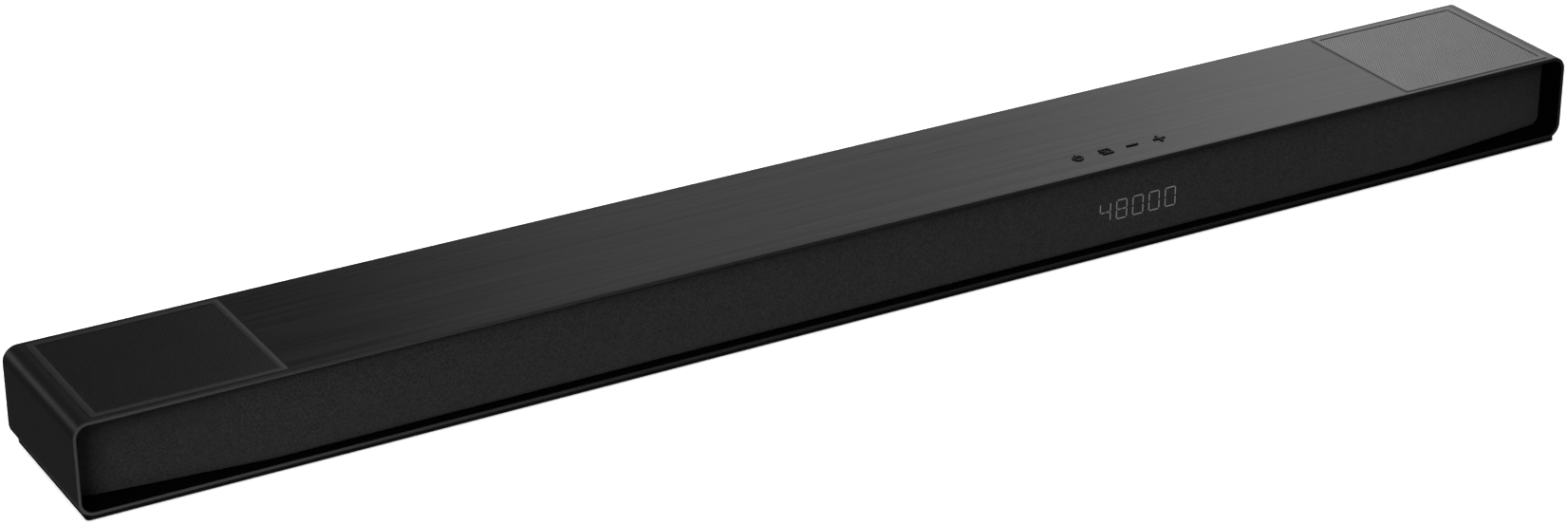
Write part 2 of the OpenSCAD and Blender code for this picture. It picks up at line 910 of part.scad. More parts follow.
module driver_frame(straight, r) {
    color([0.12, 0.12, 0.13])
    difference() {
        union() {
            translate([0, 0, -flange_t]) linear_extrude(flange_t)
                rounded_rect(straight + 2 * r + flange_margin.x, 2 * r + flange_margin.y,
                             flange_corner_r);
            translate([0, 0, -basket_depth - flange_t]) linear_extrude(basket_depth + eps)
                stadium(straight, r + basket_wall);
        }
        translate([0, 0, -basket_depth]) linear_extrude(basket_depth + 1) stadium(straight, r);
        translate([0, 0, -land_t]) linear_extrude(1) stadium(straight, r + land_w);
        translate([0, 0, -basket_depth - flange_t - 1])
            cylinder(h = flange_t + 2, r = coil_r + coil_hole_gap);
        for (p = flange_screws(straight, r))
            translate([p[0], p[1], -flange_t - eps])
                cylinder(h = flange_t + 2 * eps, r = inner_shank_r + pilot_gap);
    }
}

// Cone, voice coil former and dust cap in one moving piece
module driver_cone(straight, r) {
    rim = r - roll_w;
    neck = coil_r + 0.2;
    color([0.16, 0.16, 0.17]) {
        sweep(straight) polygon([
            [neck - 0.4, cone_back], [neck, cone_back], [rim, -1.2], [rim + 0.6, -1.2],
            [rim + 0.6, -land_t], [rim - 0.4, -land_t], [neck - 0.4, cone_back + 0.6]
        ]);
        translate([0, 0, cone_back]) linear_extrude(0.6) stadium(straight, neck - 0.2);
        difference() {
            translate([0, 0, coil_end]) cylinder(h = coil_top - coil_end, r = coil_r);
            translate([0, 0, coil_end - 1]) cylinder(h = coil_top - coil_end + 0.6, r = coil_r - coil_t);
        }
        intersection() {
            translate([0, 0, -14.5]) sphere(r = 11);
            translate([0, 0, coil_top]) cylinder(h = 6, r = coil_r - coil_t);
        }
    }
}

// Half-roll surround between the cone and the flange
module driver_surround(straight, r) {
    rim = r - roll_w;
    roll_r = (r - rim - 0.6) / 2;
    color([0.05, 0.05, 0.05])
    sweep(straight) {
        translate([rim - 0.4, -land_t]) square([1.3, land_t]);
        translate([r - 0.3, -land_t]) square([1.3, land_t]);
        translate([rim + 0.6 + roll_r, -land_t]) intersection() {
            difference() {
                circle(roll_r);
                circle(roll_r - land_t);
            }
            translate([-roll_r, 0]) square([2 * roll_r, roll_r]);
        }
    }
}

// Magnet and pole piece with the gap that the voice coil moves in
module driver_magnets() {
    color([0.4, 0.4, 0.42])
    for (d = DRIVERS)
        on_seat(d) translate([0, 0, -basket_depth - flange_t - magnet_t])
            difference() {
                cylinder(h = magnet_t, r = d[5] ? 20 : 16);
                translate([0, 0, magnet_floor]) difference() {
                    cylinder(h = magnet_t, r = coil_r + coil_gap);
                    translate([0, 0, -1]) cylinder(h = magnet_t + 2, r = coil_r - coil_t - coil_gap);
                }
            }
}

// ---- drawing ----

outer_sleeve();
base_plate();
rubber_feet();
top_plate();
top_grille(-1);  // left_top_grille
top_grille(1);  // right_top_grille
front_frame();
front_fabric();
rear_panel();
key_switches();
key_board();
display_board();
display_digits();
display_window();
remote_receiver();
main_board();
amplifier_board();
heat_sink();
power_board();
transformer();
capacitors();
hdmi_sockets();
usb_socket();
optical_socket();
mains_inlet();
wireless_module();
speaker_leads();
case_screws();
inner_screws();
wall_mount_inserts();
driver_magnets();
for (i = [0:3]) {
    key(i);
    switch_stem(i);
}
for (d = DRIVERS) {
    on_seat(d) driver_frame(d[3], d[4]);
    on_seat(d) driver_cone(d[3], d[4]);
    on_seat(d) driver_surround(d[3], d[4]);
}
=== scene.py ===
import json
import math

import bmesh
import bpy
import numpy as np
from mathutils import Matrix, Vector


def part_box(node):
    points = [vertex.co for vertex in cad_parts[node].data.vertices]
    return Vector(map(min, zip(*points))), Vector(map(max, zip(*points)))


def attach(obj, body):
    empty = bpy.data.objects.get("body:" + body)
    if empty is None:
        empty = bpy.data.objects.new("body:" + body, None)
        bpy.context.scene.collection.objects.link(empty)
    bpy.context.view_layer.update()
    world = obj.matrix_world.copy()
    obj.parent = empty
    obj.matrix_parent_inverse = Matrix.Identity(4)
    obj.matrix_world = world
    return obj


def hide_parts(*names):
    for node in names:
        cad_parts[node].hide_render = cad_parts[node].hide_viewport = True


# A slim soundbar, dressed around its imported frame. Metres, +Z up, -Y is the front.
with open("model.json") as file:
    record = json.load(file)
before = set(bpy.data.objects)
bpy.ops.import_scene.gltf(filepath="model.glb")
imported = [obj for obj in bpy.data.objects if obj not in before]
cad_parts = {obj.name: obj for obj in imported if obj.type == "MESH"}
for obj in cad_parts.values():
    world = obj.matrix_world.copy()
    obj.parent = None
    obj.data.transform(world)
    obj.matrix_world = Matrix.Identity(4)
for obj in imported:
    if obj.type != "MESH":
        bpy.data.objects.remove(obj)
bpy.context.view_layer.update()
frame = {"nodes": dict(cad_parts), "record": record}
MM = 0.001
CABINET = "cabinet"
SIDES = ("left", "right")
KEYS = ("power", "source", "volume_down", "volume_up")
FRONT_DRIVERS = ("left_end", "left_front", "centre_front", "right_front", "right_end")

# ---- places that the frame gives ----
sleeve_low, sleeve_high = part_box("outer_sleeve")
plate_low, plate_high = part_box("top_plate")
HALF_LEN = sleeve_high.x
FRONT_Y = sleeve_low.y
REAR_Y = sleeve_high.y
TOP_Z = sleeve_high.z
MID_Z = (sleeve_low.z + sleeve_high.z) / 2
HALF_H = (sleeve_high.z - sleeve_low.z) / 2
FABRIC_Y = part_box("front_fabric")[0].y

# ---- sizes of the looks ----
CORNER_R = 9.2 * MM
WALL = 2.2 * MM
RIM_R = 0.35 * MM
LEAST_CORNER_R = 0.8 * MM
KINK_X = 385 * MM
KINK_BLEND = 3 * MM
END_ANGLE = math.radians(6)
SMOOTH_ANGLE = math.radians(35)
EDGE_ANGLE = math.radians(40)
EDGE_STEPS = 2
SAME_POINT = 0.001 * MM
CUT_PAST = 1 * MM


# ---- mesh helpers ----

def add_piece(name, points, faces, slot, material=None, body=CABINET, smooth=True):
    """Makes a mesh piece that rides on a body and has a material slot.
    It looks like the slot's own material, unless another is given."""
    mesh = bpy.data.meshes.new(name)
    mesh.from_pydata([tuple(p) for p in points], [], faces)
    mesh.validate()
    piece = bpy.data.objects.new(name, mesh)
    bpy.context.scene.collection.objects.link(piece)
    mesh.materials.append(material or finish_of(slot))
    if smooth:
        smooth_by_angle(mesh)
    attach(piece, body)
    return piece


def smooth_by_angle(mesh):
    """Shades a mesh smooth and keeps its sharp corners sharp."""
    mesh.shade_smooth()
    mesh.set_sharp_from_angle(angle=SMOOTH_ANGLE)


def weigh_normals(piece):
    """Keeps large flat faces flat where they meet small rounded edges."""
    modifier = piece.modifiers.new("flat_faces", "WEIGHTED_NORMAL")
    modifier.keep_sharp = True


def soften(node, width):
    """Rounds the sharp edges of a node's mesh with modifiers alone."""
    piece = frame["nodes"][node]
    weld = piece.modifiers.new("weld", "WELD")
    weld.merge_threshold = SAME_POINT
    bevel = piece.modifiers.new("bevel", "BEVEL")
    bevel.width = width
    bevel.segments = EDGE_STEPS
    bevel.limit_method = "ANGLE"
    bevel.angle_limit = EDGE_ANGLE
    bevel.harden_normals = False
    weigh_normals(piece)


def arc(centre, radius, start, end, steps):
    """Points on an arc, in degrees, with both of its ends."""
    angles = [math.radians(start + (end - start) * i / steps) for i in range(steps + 1)]
    return [(centre[0] + radius * math.cos(a), centre[1] + radius * math.sin(a)) for a in angles]


def circle(centre, radius, steps):
    """Points all the way round a circle."""
    return arc(centre, radius, 0, 360 - 360 / steps, steps - 1)


def rectangle(low, high, grow=0.0):
    """The corners between two (u, v) places, grown all round."""
    return [
        (low[0] - grow, low[1] - grow), (high[0] + grow, low[1] - grow),
        (high[0] + grow, high[1] + grow), (low[0] - grow, high[1] + grow),
    ]


def rounded_outline(half_w, half_h, radius, steps, stations=()):
    """Corner centres and directions round a rectangle, so that an inset only changes the radius.
    stations are extra places along the two long sides, as shares of their length."""
    spots = []
    inner_w = half_w - radius
    inner_h = half_h - radius
    corners = [(1, -1, -90), (1, 1, 0), (-1, 1, 90), (-1, -1, 180)]
    for sx, sy, start in corners:
        for i in range(steps + 1):
            a = math.radians(start + 90 * i / steps)
            spots.append((sx * inner_w, sy * inner_h, math.cos(a), math.sin(a)))
        if (sx, sy) == (1, 1):
            spots += [(inner_w * (1 - 2 * s), inner_h, 0.0, 1.0) for s in stations]
        if (sx, sy) == (-1, -1):
            spots += [(inner_w * (2 * s - 1), -inner_h, 0.0, -1.0) for s in stations]
    return spots


def ring_points(outline, radius, inset):
    """The outline's points at an inset from its outer edge. Its corners always stay a little round."""
    reach = max(radius - inset, LEAST_CORNER_R)
    shift = reach - (radius - inset)
    return [
        (x - math.copysign(shift, x) + dx * reach, y - math.copysign(shift, y) + dy * reach)
        for x, y, dx, dy in outline
    ]


def sweep_ring(outline, radius, profile, place):
    """Sweeps a closed profile of (inset, height) round an outline, as points and faces.
    place turns (u, v, height) into a point."""
    points = []
    for inset, height in profile:
        points += [place(u, v, height) for u, v in ring_points(outline, radius, inset)]
    around = len(outline)
    faces = []
    for i in range(len(profile)):
        j = (i + 1) % len(profile)
        for k in range(around):
            m = (k + 1) % around
            faces.append((i * around + k, i * around + m, j * around + m, j * around + k))
    return points, faces


def prism(outline, low, high, place):
    """A closed block with a flat outline between two heights, as points and faces."""
    n = len(outline)
    points = [place(u, v, h) for h in (low, high) for u, v in outline]
    sides = [(i, (i + 1) % n, n + (i + 1) % n, n + i) for i in range(n)]
    return points, [tuple(range(n))[::-1], tuple(range(n, 2 * n))] + sides


def upright(u, v, height):
    """Outline in X and Y, raised along Z."""
    return (u, v, height)


def lying(u, v, height):
    """Outline in X and Z. Its height is measured towards the front."""
    return (u, -height, v)


def join(parts):
    """Several (points, faces) as one."""
    points, faces = [], []
    for more_points, more_faces in parts:
        start = len(points)
        points += more_points
        faces += [tuple(start + i for i in face) for face in more_faces]
    return points, faces


def outward(piece):
    """Turns every face of a closed mesh outwards."""
    shape = bmesh.new()
    shape.from_mesh(piece.data)
    bmesh.ops.recalc_face_normals(shape, faces=shape.faces)
    shape.to_mesh(piece.data)
    shape.free()


def cut(piece, parts):
    """Cuts closed blocks out of a piece."""
    points, faces = join(parts)
    mesh = bpy.data.meshes.new("cutter")
    mesh.from_pydata(points, [], faces)
    cutter = bpy.data.objects.new("cutter", mesh)
    bpy.context.scene.collection.objects.link(cutter)
    outward(cutter)
    modifier = piece.modifiers.new("cut", "BOOLEAN")
    modifier.operation = "DIFFERENCE"
    modifier.solver = "EXACT"
    modifier.object = cutter
    bpy.context.view_layer.update()
    graph = bpy.context.evaluated_depsgraph_get()
    result = bpy.data.meshes.new_from_object(piece.evaluated_get(graph), depsgraph=graph)
    piece.modifiers.remove(modifier)
    piece.data = result
    bpy.data.objects.remove(cutter)
    smooth_by_angle(piece.data)


def islands(node):
    """The box of each separate solid in a node, as (low, high), in order along X, Y and Z."""
    shape = bmesh.new()
    shape.from_mesh(frame["nodes"][node].data)
    bmesh.ops.remove_doubles(shape, verts=shape.verts, dist=SAME_POINT)
    left = set(shape.verts)
    boxes = []
    while left:
        group, edge = set(), [left.pop()]
        while edge:
            vert = edge.pop()
            group.add(vert)
            for link in vert.link_edges:
                other = link.other_vert(vert)
                if other in left:
                    left.remove(other)
                    edge.append(other)
        spots = np.array([v.co for v in group])
        boxes.append((Vector(spots.min(0)), Vector(spots.max(0))))
    shape.free()
    return sorted(boxes, key=lambda b: tuple(round(c, 5) for c in b[0]))


# ---- materials ----

class Shader:
    """One material and a short way to add and join its nodes."""

    def __init__(self, name, colour, roughness, metallic=0.0, specular=0.5):
        self.material = bpy.data.materials.new(name)
        self.material.use_nodes = True
        self.tree = self.material.node_tree
        self.surface = self.tree.nodes["Principled BSDF"]
        self.set("Base Color", (*colour, 1.0))
        self.set("Roughness", roughness)
        self.set("Metallic", metallic)
        self.set("Specular IOR Level", specular)
        self.place = self.node("ShaderNodeNewGeometry").outputs["Position"]
        self.material.diffuse_color = (*colour, 1.0)

    def set(self, socket, value):
        """Puts a constant on the surface's own socket."""
        self.surface.inputs[socket].default_value = value

    def node(self, kind, inputs=None, **settings):
        """Adds a node. inputs are constants, or outputs to join to it."""
        made = self.tree.nodes.new(kind)
        for key, value in settings.items():
            setattr(made, key, value)
        for key, value in (inputs or {}).items():
            self.feed(made.inputs[key], value)
        return made

    def feed(self, socket, value):
        """Joins an output to a socket, or sets it."""
        if isinstance(value, bpy.types.NodeSocket):
            self.tree.links.new(value, socket)
        else:
            socket.default_value = value

    def stretched(self, scale):
        """The place on the object in metres, scaled along X, Y and Z."""
        product = self.node("ShaderNodeVectorMath", {0: self.place, 1: scale}, operation="MULTIPLY")
        return product.outputs[0]

    def noise(self, scale, detail=3.0, roughness=0.6):
        """Noise from 0 to 1, at so many lumps to a metre along each axis."""
        inputs = {
            "Vector": self.stretched(scale), "Scale": 1.0,
            "Detail": detail, "Roughness": roughness,
        }
        return self.node("ShaderNodeTexNoise", inputs).outputs["Fac"]

    def cell_edges(self, scale, randomness):
        """Distance to the nearest edge between cells."""
        inputs = {"Vector": self.stretched(scale), "Scale": 1.0, "Randomness": randomness}
        return self.node("ShaderNodeTexVoronoi", inputs, feature="DISTANCE_TO_EDGE").outputs["Distance"]

    def math(self, operation, a, b=0.0):
        """One sum on two values or outputs."""
        return self.node("ShaderNodeMath", {0: a, 1: b}, operation=operation).outputs[0]

    def spread(self, value, low, high, from_low=0.3, from_high=0.7):
        """Maps a value to a range, and holds it there."""
        inputs = {
            "Value": value,
            "From Min": from_low, "From Max": from_high,
            "To Min": low, "To Max": high,
        }
        return self.node("ShaderNodeMapRange", inputs, clamp=True).outputs[0]

    def between(self, value, colours):
        """A colour between two, along a value from 0 to 1."""
        ramp = self.node("ShaderNodeValToRGB", {"Fac": value})
        for stop, colour in zip(ramp.color_ramp.elements, colours):
            stop.color = (*colour, 1.0)
        return ramp.outputs["Color"]

    def tint(self, value, colours):
        """Base colour between two, along a value from 0 to 1."""
        self.feed(self.surface.inputs["Base Color"], self.between(value, colours))

    def weave(self, pitch, wobble=0.0):
        """A plain weave in X and Z, from -1 to 1. wobble shifts its threads, in radians."""
        parts = self.node("ShaderNodeSeparateXYZ", {0: self.place}).outputs
        threads = []
        for axis in ("X", "Z"):
            turned_by = self.math("MULTIPLY", parts[axis], 2 * math.pi / pitch)
            threads.append(self.math("SINE", self.math("ADD", turned_by, wobble)))
        return self.math("MULTIPLY", *threads)

    def rough(self, value, low, high):
        """Roughness that follows a value."""
        self.feed(self.surface.inputs["Roughness"], self.spread(value, low, high))

    def bump(self, height, depth, strength=1.0):
        """Relief of a depth in metres, on top of any that is there."""
        inputs = {"Height": height, "Distance": depth, "Strength": strength}
        bump = self.node("ShaderNodeBump", inputs)
        socket = self.surface.inputs["Normal"]
        if socket.is_linked:
            self.tree.links.new(socket.links[0].from_socket, bump.inputs["Normal"])
        self.tree.links.new(bump.outputs["Normal"], socket)


def scaled(colour, share):
    """A colour made lighter or darker."""
    return tuple(c * share for c in colour)


def moulded(name, colour, roughness, grain=0.02 * MM, lumps=2600, specular=0.5):
    """Moulded or painted surface: a fine even grain, faint mottling and handling marks."""
    shader = Shader(name, colour, roughness, specular=specular)
    mottle = shader.noise((22, 22, 22), detail=4)
    shader.tint(shader.spread(mottle, 0, 1), [scaled(colour, 0.97), scaled(colour, 1.03)])
    shader.rough(shader.noise((60, 60, 60), detail=5), roughness - 0.015, roughness + 0.015)
    shader.bump(shader.noise((lumps, lumps, lumps), detail=2), grain, 0.5)
    return shader


def hairline(name, colour, roughness, streak, anisotropy):
    """Dark anodised metal brushed along X: fine hairlines, and slower bands across them."""
    shader = Shader(name, colour, roughness, metallic=1.0)
    fine = shader.noise((16, 1300, 1300), detail=4, roughness=0.75)
    middle = shader.noise((5, 420, 420), detail=3)
    broad = shader.noise((1.6, 110, 110), detail=2)
    lines = shader.math("MULTIPLY", fine, 0.4)
    lines = shader.math("ADD", lines, shader.math("MULTIPLY", middle, 0.35))
    lines = shader.math("ADD", lines, shader.math("MULTIPLY", broad, 0.25))
    tone = shader.spread(lines, 0, 1, 0.38, 0.62)
    shader.tint(tone, [scaled(colour, 1 - streak), scaled(colour, 1 + streak)])
    shader.rough(lines, roughness - 0.06, roughness + 0.08)
    shader.bump(fine, 0.02 * MM, 0.5)
    shader.bump(middle, 0.04 * MM, 0.4)
    shader.set("Anisotropic", anisotropy)
    tangent = shader.node("ShaderNodeTangent", direction_type="RADIAL", axis="X")
    shader.feed(shader.surface.inputs["Tangent"], tangent.outputs[0])
    return shader


def metal(name, colour, roughness, scratches=0.004 * MM):
    """Bare or plated metal with fine random scratches."""
    shader = Shader(name, colour, roughness, metallic=1.0)
    wear = shader.noise((90, 90, 90), detail=5)
    shader.tint(shader.spread(wear, 0, 1), [scaled(colour, 0.8), colour])
    shader.rough(wear, roughness - 0.06, roughness + 0.12)
    shader.bump(shader.noise((400, 4000, 1600), detail=3), scratches, 0.6)
    return shader


def woven(name, colour, pitch):
    """Acoustic cloth: a plain weave of heathered yarns with fuzz."""
    shader = Shader(name, colour, 0.86, specular=0.25)
    weave = shader.weave(pitch, shader.noise((500, 500, 500), detail=2))
    heather = shader.noise((1050, 1050, 1050), detail=3, roughness=0.8)
    cloud = shader.noise((130, 130, 130), detail=3)
    mix = shader.math("ADD", shader.math("MULTIPLY", weave, 0.08), heather)
    mix = shader.math("ADD", mix, shader.math("MULTIPLY", cloud, 0.1))
    shader.tint(shader.spread(mix, 0, 1, 0.4, 0.72), [scaled(colour, 0.3), scaled(colour, 1.7)])
    shader.set("Sheen Weight", 0.25)
    shader.set("Sheen Roughness", 0.5)
    shader.set("Sheen Tint", (0.5, 0.5, 0.5, 1.0))
    shader.bump(weave, 0.05 * MM, 0.6)
    shader.bump(heather, 0.08 * MM, 0.6)
    return shader


def circuit(name, colour):
    """Solder mask over copper tracks and lands."""
    shader = Shader(name, colour, 0.32)
    tracks = shader.cell_edges((420, 420, 420), randomness=0.35)
    shader.tint(shader.spread(tracks, 0, 1, 0.02, 0.1), [scaled(colour, 1.7), colour])
    shader.bump(shader.spread(tracks, 1, 0, 0.02, 0.1), 0.04 * MM)
    shader.set("Coat Weight", 0.4)
    return shader


def glossy(name, colour, roughness, specular=0.5):
    """Polished plastic with faint flow marks and dust."""
    shader = Shader(name, colour, roughness, specular=specular)
    flow = shader.noise((35, 35, 35), detail=4)
    shader.tint(shader.spread(flow, 0, 1), [scaled(colour, 0.8), scaled(colour, 1.2)])
    shader.rough(shader.noise((900, 900, 900), detail=4), roughness - 0.04, roughness + 0.08)
    shader.bump(flow, 0.02 * MM, 0.3)
    return shader


def lit_segment(name, colour, pitch, strength):
    """Light that shines through the cloth, broken up by its yarns."""
    shader = Shader(name, scaled(colour, 0.2), 0.8, specular=0.1)
    veil = shader.math("ADD", shader.weave(pitch), shader.noise((1500, 1500, 1500)))
    glow = shader.between(shader.spread(veil, 0, 1, -0.6, 1.2), [scaled(colour, 0.55), colour])
    shader.feed(shader.surface.inputs["Emission Color"], glow)
    shader.set("Emission Strength", strength)
    return shader


def rolled(name, colour):
    """Soft rubber with a bloom."""
    shader = moulded(name, colour, 0.62, grain=0.03 * MM, lumps=1400, specular=0.35)
    shader.set("Sheen Weight", 0.15)
    return shader


def pulp(name, colour):
    """Pressed paper pulp with fibres."""
    shader = Shader(name, colour, 0.72, specular=0.3)
    fibre = shader.noise((900, 2400, 900), detail=5, roughness=0.75)
    shader.tint(shader.spread(fibre, 0, 1), [scaled(colour, 0.65), scaled(colour, 1.4)])
    shader.bump(fibre, 0.06 * MM, 0.7)
    return shader


WEAVE_PITCH = 0.75 * MM
SHADERS = {
    "sleeve": moulded("sleeve", (0.0025, 0.0025, 0.0026), 0.4, grain=0.01 * MM, specular=0.38),
    "base": moulded("base", (0.0022, 0.0022, 0.0023), 0.6, specular=0.08),
    "rubber": rolled("rubber", (0.012, 0.012, 0.012)),
    "brushed_top": hairline("brushed_top", (0.055, 0.055, 0.056), 0.36, 0.55, 0.6),
    "perforated_metal": moulded(
        "perforated_metal", (0.0025, 0.0025, 0.0027), 0.31, grain=0.01 * MM, specular=0.68,
    ),
    "black_plastic": moulded("black_plastic", (0.01, 0.01, 0.01), 0.5),
    "rear_plastic": moulded("rear_plastic", (0.016, 0.016, 0.0165), 0.5, grain=0.08 * MM, lumps=1500),
    "fabric": woven("fabric", (0.0228, 0.0228, 0.023), WEAVE_PITCH),
    "steel": metal("steel", (0.62, 0.62, 0.6), 0.3),
    "black_steel": moulded("black_steel", (0.025, 0.025, 0.027), 0.35, specular=0.7),
    "circuit_board": circuit("circuit_board", (0.015, 0.09, 0.035)),
    "digit_plastic": glossy("digit_plastic", (0.7, 0.7, 0.68), 0.3),
    "window": glossy("window", (0.02, 0.02, 0.022), 0.1),
    "dark_lens": glossy("dark_lens", (0.015, 0.006, 0.014), 0.08),
    "heat_sink": metal("heat_sink", (0.55, 0.56, 0.58), 0.42, scratches=0.01 * MM),
    "ferrite": moulded("ferrite", (0.09, 0.07, 0.04), 0.6),
    "capacitor_sleeve": glossy("capacitor_sleeve", (0.015, 0.015, 0.04), 0.25),
    "lead_jacket": rolled("lead_jacket", (0.25, 0.015, 0.015)),
    "brass": metal("brass", (0.72, 0.5, 0.2), 0.28),
    "magnet": metal("magnet", (0.3, 0.3, 0.32), 0.35),
    "driver_frame": moulded("driver_frame", (0.03, 0.03, 0.032), 0.45),
    "cone": pulp("cone", (0.05, 0.05, 0.053)),
    "surround": rolled("surround", (0.014, 0.014, 0.014)),
    "key": glossy("key", (0.002, 0.002, 0.002), 0.45, specular=0.12),
    "stem": moulded("stem", (0.55, 0.52, 0.44), 0.45),
}
LIT = lit_segment("lit_segments", (0.8, 0.82, 0.84), WEAVE_PITCH, 0.14)
# Near-black for the sleeve's inner walls: painted shade in the recess behind the cloth.
PAINTED_RECESS_SHADE = moulded("painted_recess_shade", (0.0008, 0.0008, 0.0008), 0.8, specular=0.02)
BORDER_SATIN = moulded("border_satin", (0.0035, 0.0035, 0.0037), 0.42, grain=0.01 * MM, specular=0.95)
# Lighter satin for the sleeve's front rim: a painted highlight along its edge.
RIM_PAINTED_HIGHLIGHT = moulded("rim_painted_highlight", (0.013, 0.013, 0.0131), 0.4, grain=0.008 * MM, specular=0.3)


def finish_of(slot):
    """The material of one of the record's slots."""
    return SHADERS[slot].material


def dress_nodes():
    """Gives every CAD node the material of its own slot."""
    for part in frame["record"]["subparts"]:
        piece = frame["nodes"][part["node"]]
        material = finish_of(part["material_slot"])
        if not piece.material_slots:
            piece.data.materials.append(material)
        for place in piece.material_slots:
            place.material = material


# ---- sleeve ----

RIM_STEPS = 5
SKIN_SLACK = 0.05 * MM
GRILLE_R = 2 * MM
SEAM = 0.15 * MM
KEY_GAP = 0.5 * MM
UP_OPENING_R = 26.4 * MM
CUT_ABOVE = 5 * MM
CUT_BELOW = 6 * MM
VENT_COUNT = 12
VENT_X = -216 * MM
VENT_PITCH = 6 * MM
VENT_W = 2 * MM
VENT_Y = (2 * MM, 24 * MM)


def build_sleeve():
    """The seamless shell: a rounded tube open to the front and rear, with softened rims."""
    outline = rounded_outline(HALF_LEN, HALF_H, CORNER_R, steps=16)

    def place(u, v, height):
        return (u, height, MID_Z + v)

    profile = arc((RIM_R, FRONT_Y + RIM_R), RIM_R, 180, 270, RIM_STEPS)
    profile += arc((WALL - RIM_R, FRONT_Y + RIM_R), RIM_R, 270, 360, RIM_STEPS)
    profile += arc((WALL - RIM_R, REAR_Y - RIM_R), RIM_R, 0, 90, RIM_STEPS)
    profile += arc((RIM_R, REAR_Y - RIM_R), RIM_R, 90, 180, RIM_STEPS)
    points, faces = sweep_ring(outline, CORNER_R, profile, place)
    sleeve = add_piece("sleeve_shell", points, faces, "sleeve")
    outward(sleeve)
    cut(sleeve, pockets())
    cut(sleeve, openings())
    paint_shell(sleeve)
    weigh_normals(sleeve)
    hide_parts("outer_sleeve")


def depth_below_skin(x, z):
    """How far a point lies inside the sleeve's outer outline."""
    past_x = abs(x) - (HALF_LEN - CORNER_R)
    past_z = abs(z - MID_Z) - (HALF_H - CORNER_R)
    if past_x > 0 and past_z > 0:
        return CORNER_R - math.hypot(past_x, past_z)
    return CORNER_R - max(past_x, past_z)


def paint_shell(sleeve):
    """The shell's inner walls get a near-black as painted shade in the recess, and its front rim a
    lighter satin as a painted highlight.
    """
    sleeve.data.materials.append(PAINTED_RECESS_SHADE.material)
    sleeve.data.materials.append(RIM_PAINTED_HIGHLIGHT.material)
    for face in sleeve.data.polygons:
        # Inner walls: painted shade.
        if depth_below_skin(face.center.x, face.center.z) > WALL - SKIN_SLACK:
            face.material_index = 1
        # Front rim: painted highlight.
        elif face.center.y < FRONT_Y + RIM_R:
            face.material_index = 2


def grille_outline(side, grow):
    """A top grille's outline in X and Y, grown all round."""
    low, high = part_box(f"{side}_top_grille")
    centre = (low + high) / 2
    half = (high - low) / 2
    outline = rounded_outline(half.x, half.y, GRILLE_R, steps=6)
    return [(centre.x + u, centre.y + v) for u, v in ring_points(outline, GRILLE_R, -grow)]


def pockets():
    """The shallow seats of the top plate and of the two grilles."""
    above = TOP_Z + CUT_ABOVE
    parts = [prism(rectangle(plate_low, plate_high, SEAM), plate_low.z, above, upright)]
    for side in SIDES:
        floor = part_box(f"{side}_top_grille")[0].z
        parts.append(prism(grille_outline(side, SEAM), floor, above, upright))
    return parts


def openings():
    """Holes through the shell: two up-firing drivers, four keys and the cooling slots below."""
    above = TOP_Z + CUT_ABOVE
    below = TOP_Z - CUT_BELOW
    outlines = []
    for side in SIDES:
        low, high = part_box(f"{side}_up_surround")
        outlines.append(circle((low + high) / 2, UP_OPENING_R, steps=48))
    for key in KEYS:
        outlines.append(rectangle(*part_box(f"{key}_key"), KEY_GAP))
    parts = [prism(outline, below, above, upright) for outline in outlines]
    for i in range(VENT_COUNT):
        left = VENT_X + i * VENT_PITCH
        slot = rectangle((left, VENT_Y[0]), (left + VENT_W, VENT_Y[1]))
        parts.append(prism(slot, sleeve_low.z - CUT_PAST, sleeve_low.z + 2 * WALL, upright))
    return parts


# ---- perforated top grilles ----

HOLE_PITCH = 1.6 * MM
HOLE_R = 0.42 * MM
HOLE_SIDES = 8
FIELD_T = 0.5 * MM
BORDER_W = 4 * MM
BORDER_EDGE = 0.1 * MM


def perforated_sheet(low_x, low_y, columns, rows, pitch, row_step, top, bottom, radius):
    """A sheet with staggered round holes, as points and faces.
    The faces round a hole are laid out one by one for its eight sides."""
    across = 2 * columns + 1
    layer = across * (rows + 1)
    points = []
    for height in (top, bottom):
        for j in range(rows + 1):
            y = low_y + j * row_step
            points += [(low_x + k * pitch / 2, y, height) for k in range(across)]
    faces = []

    def both(*corners):
        """A face on top, and its mirror below. Hole corners carry their own lower number."""
        faces.append(tuple(c[0] for c in corners))
        faces.append(tuple(c[1] for c in reversed(corners)))

    def lattice(j, k):
        index = j * across + k
        return (index, layer + index)

    ring = circle((0, 0), radius, HOLE_SIDES)
    for j in range(rows):
        odd = j % 2
        for i in range(columns - odd):
            k = 2 * i + odd
            x = low_x + (k + 1) * pitch / 2
            y = low_y + (j + 0.5) * row_step
            first = len(points)
            points += [(x + dx, y + dy, top) for dx, dy in ring]
            points += [(x + dx, y + dy, bottom) for dx, dy in ring]
            hole = [(first + n, first + HOLE_SIDES + n) for n in range(HOLE_SIDES)]
            a, b, c = lattice(j, k), lattice(j, k + 1), lattice(j, k + 2)
            d, e, f = lattice(j + 1, k), lattice(j + 1, k + 1), lattice(j + 1, k + 2)
            both(a, b, hole[6], hole[5])
            both(b, c, hole[7], hole[6])
            both(f, e, hole[2], hole[1])
            both(e, d, hole[3], hole[2])
            both(c, f, hole[0])
            both(c, hole[0], hole[7])
            both(f, hole[1], hole[0])
            both(d, a, hole[4])
            both(d, hole[4], hole[3])
            both(a, hole[5], hole[4])
            for n in range(HOLE_SIDES):
                m = (n + 1) % HOLE_SIDES
                faces.append((hole[n][0], hole[m][0], hole[m][1], hole[n][1]))
        if odd:
            for k in (0, across - 2):
                both(lattice(j, k), lattice(j, k + 1), lattice(j + 1, k + 1), lattice(j + 1, k))
    border = [(0, k) for k in range(across)]
    border += [(j, across - 1) for j in range(1, rows + 1)]
    border += [(rows, k) for k in range(across - 2, -1, -1)]
    border += [(j, 0) for j in range(rows - 1, 0, -1)]
    for n, spot in enumerate(border):
        one, two = lattice(*spot), lattice(*border[(n + 1) % len(border)])
        faces.append((one[1], two[1], two[0], one[0]))
    return points, faces


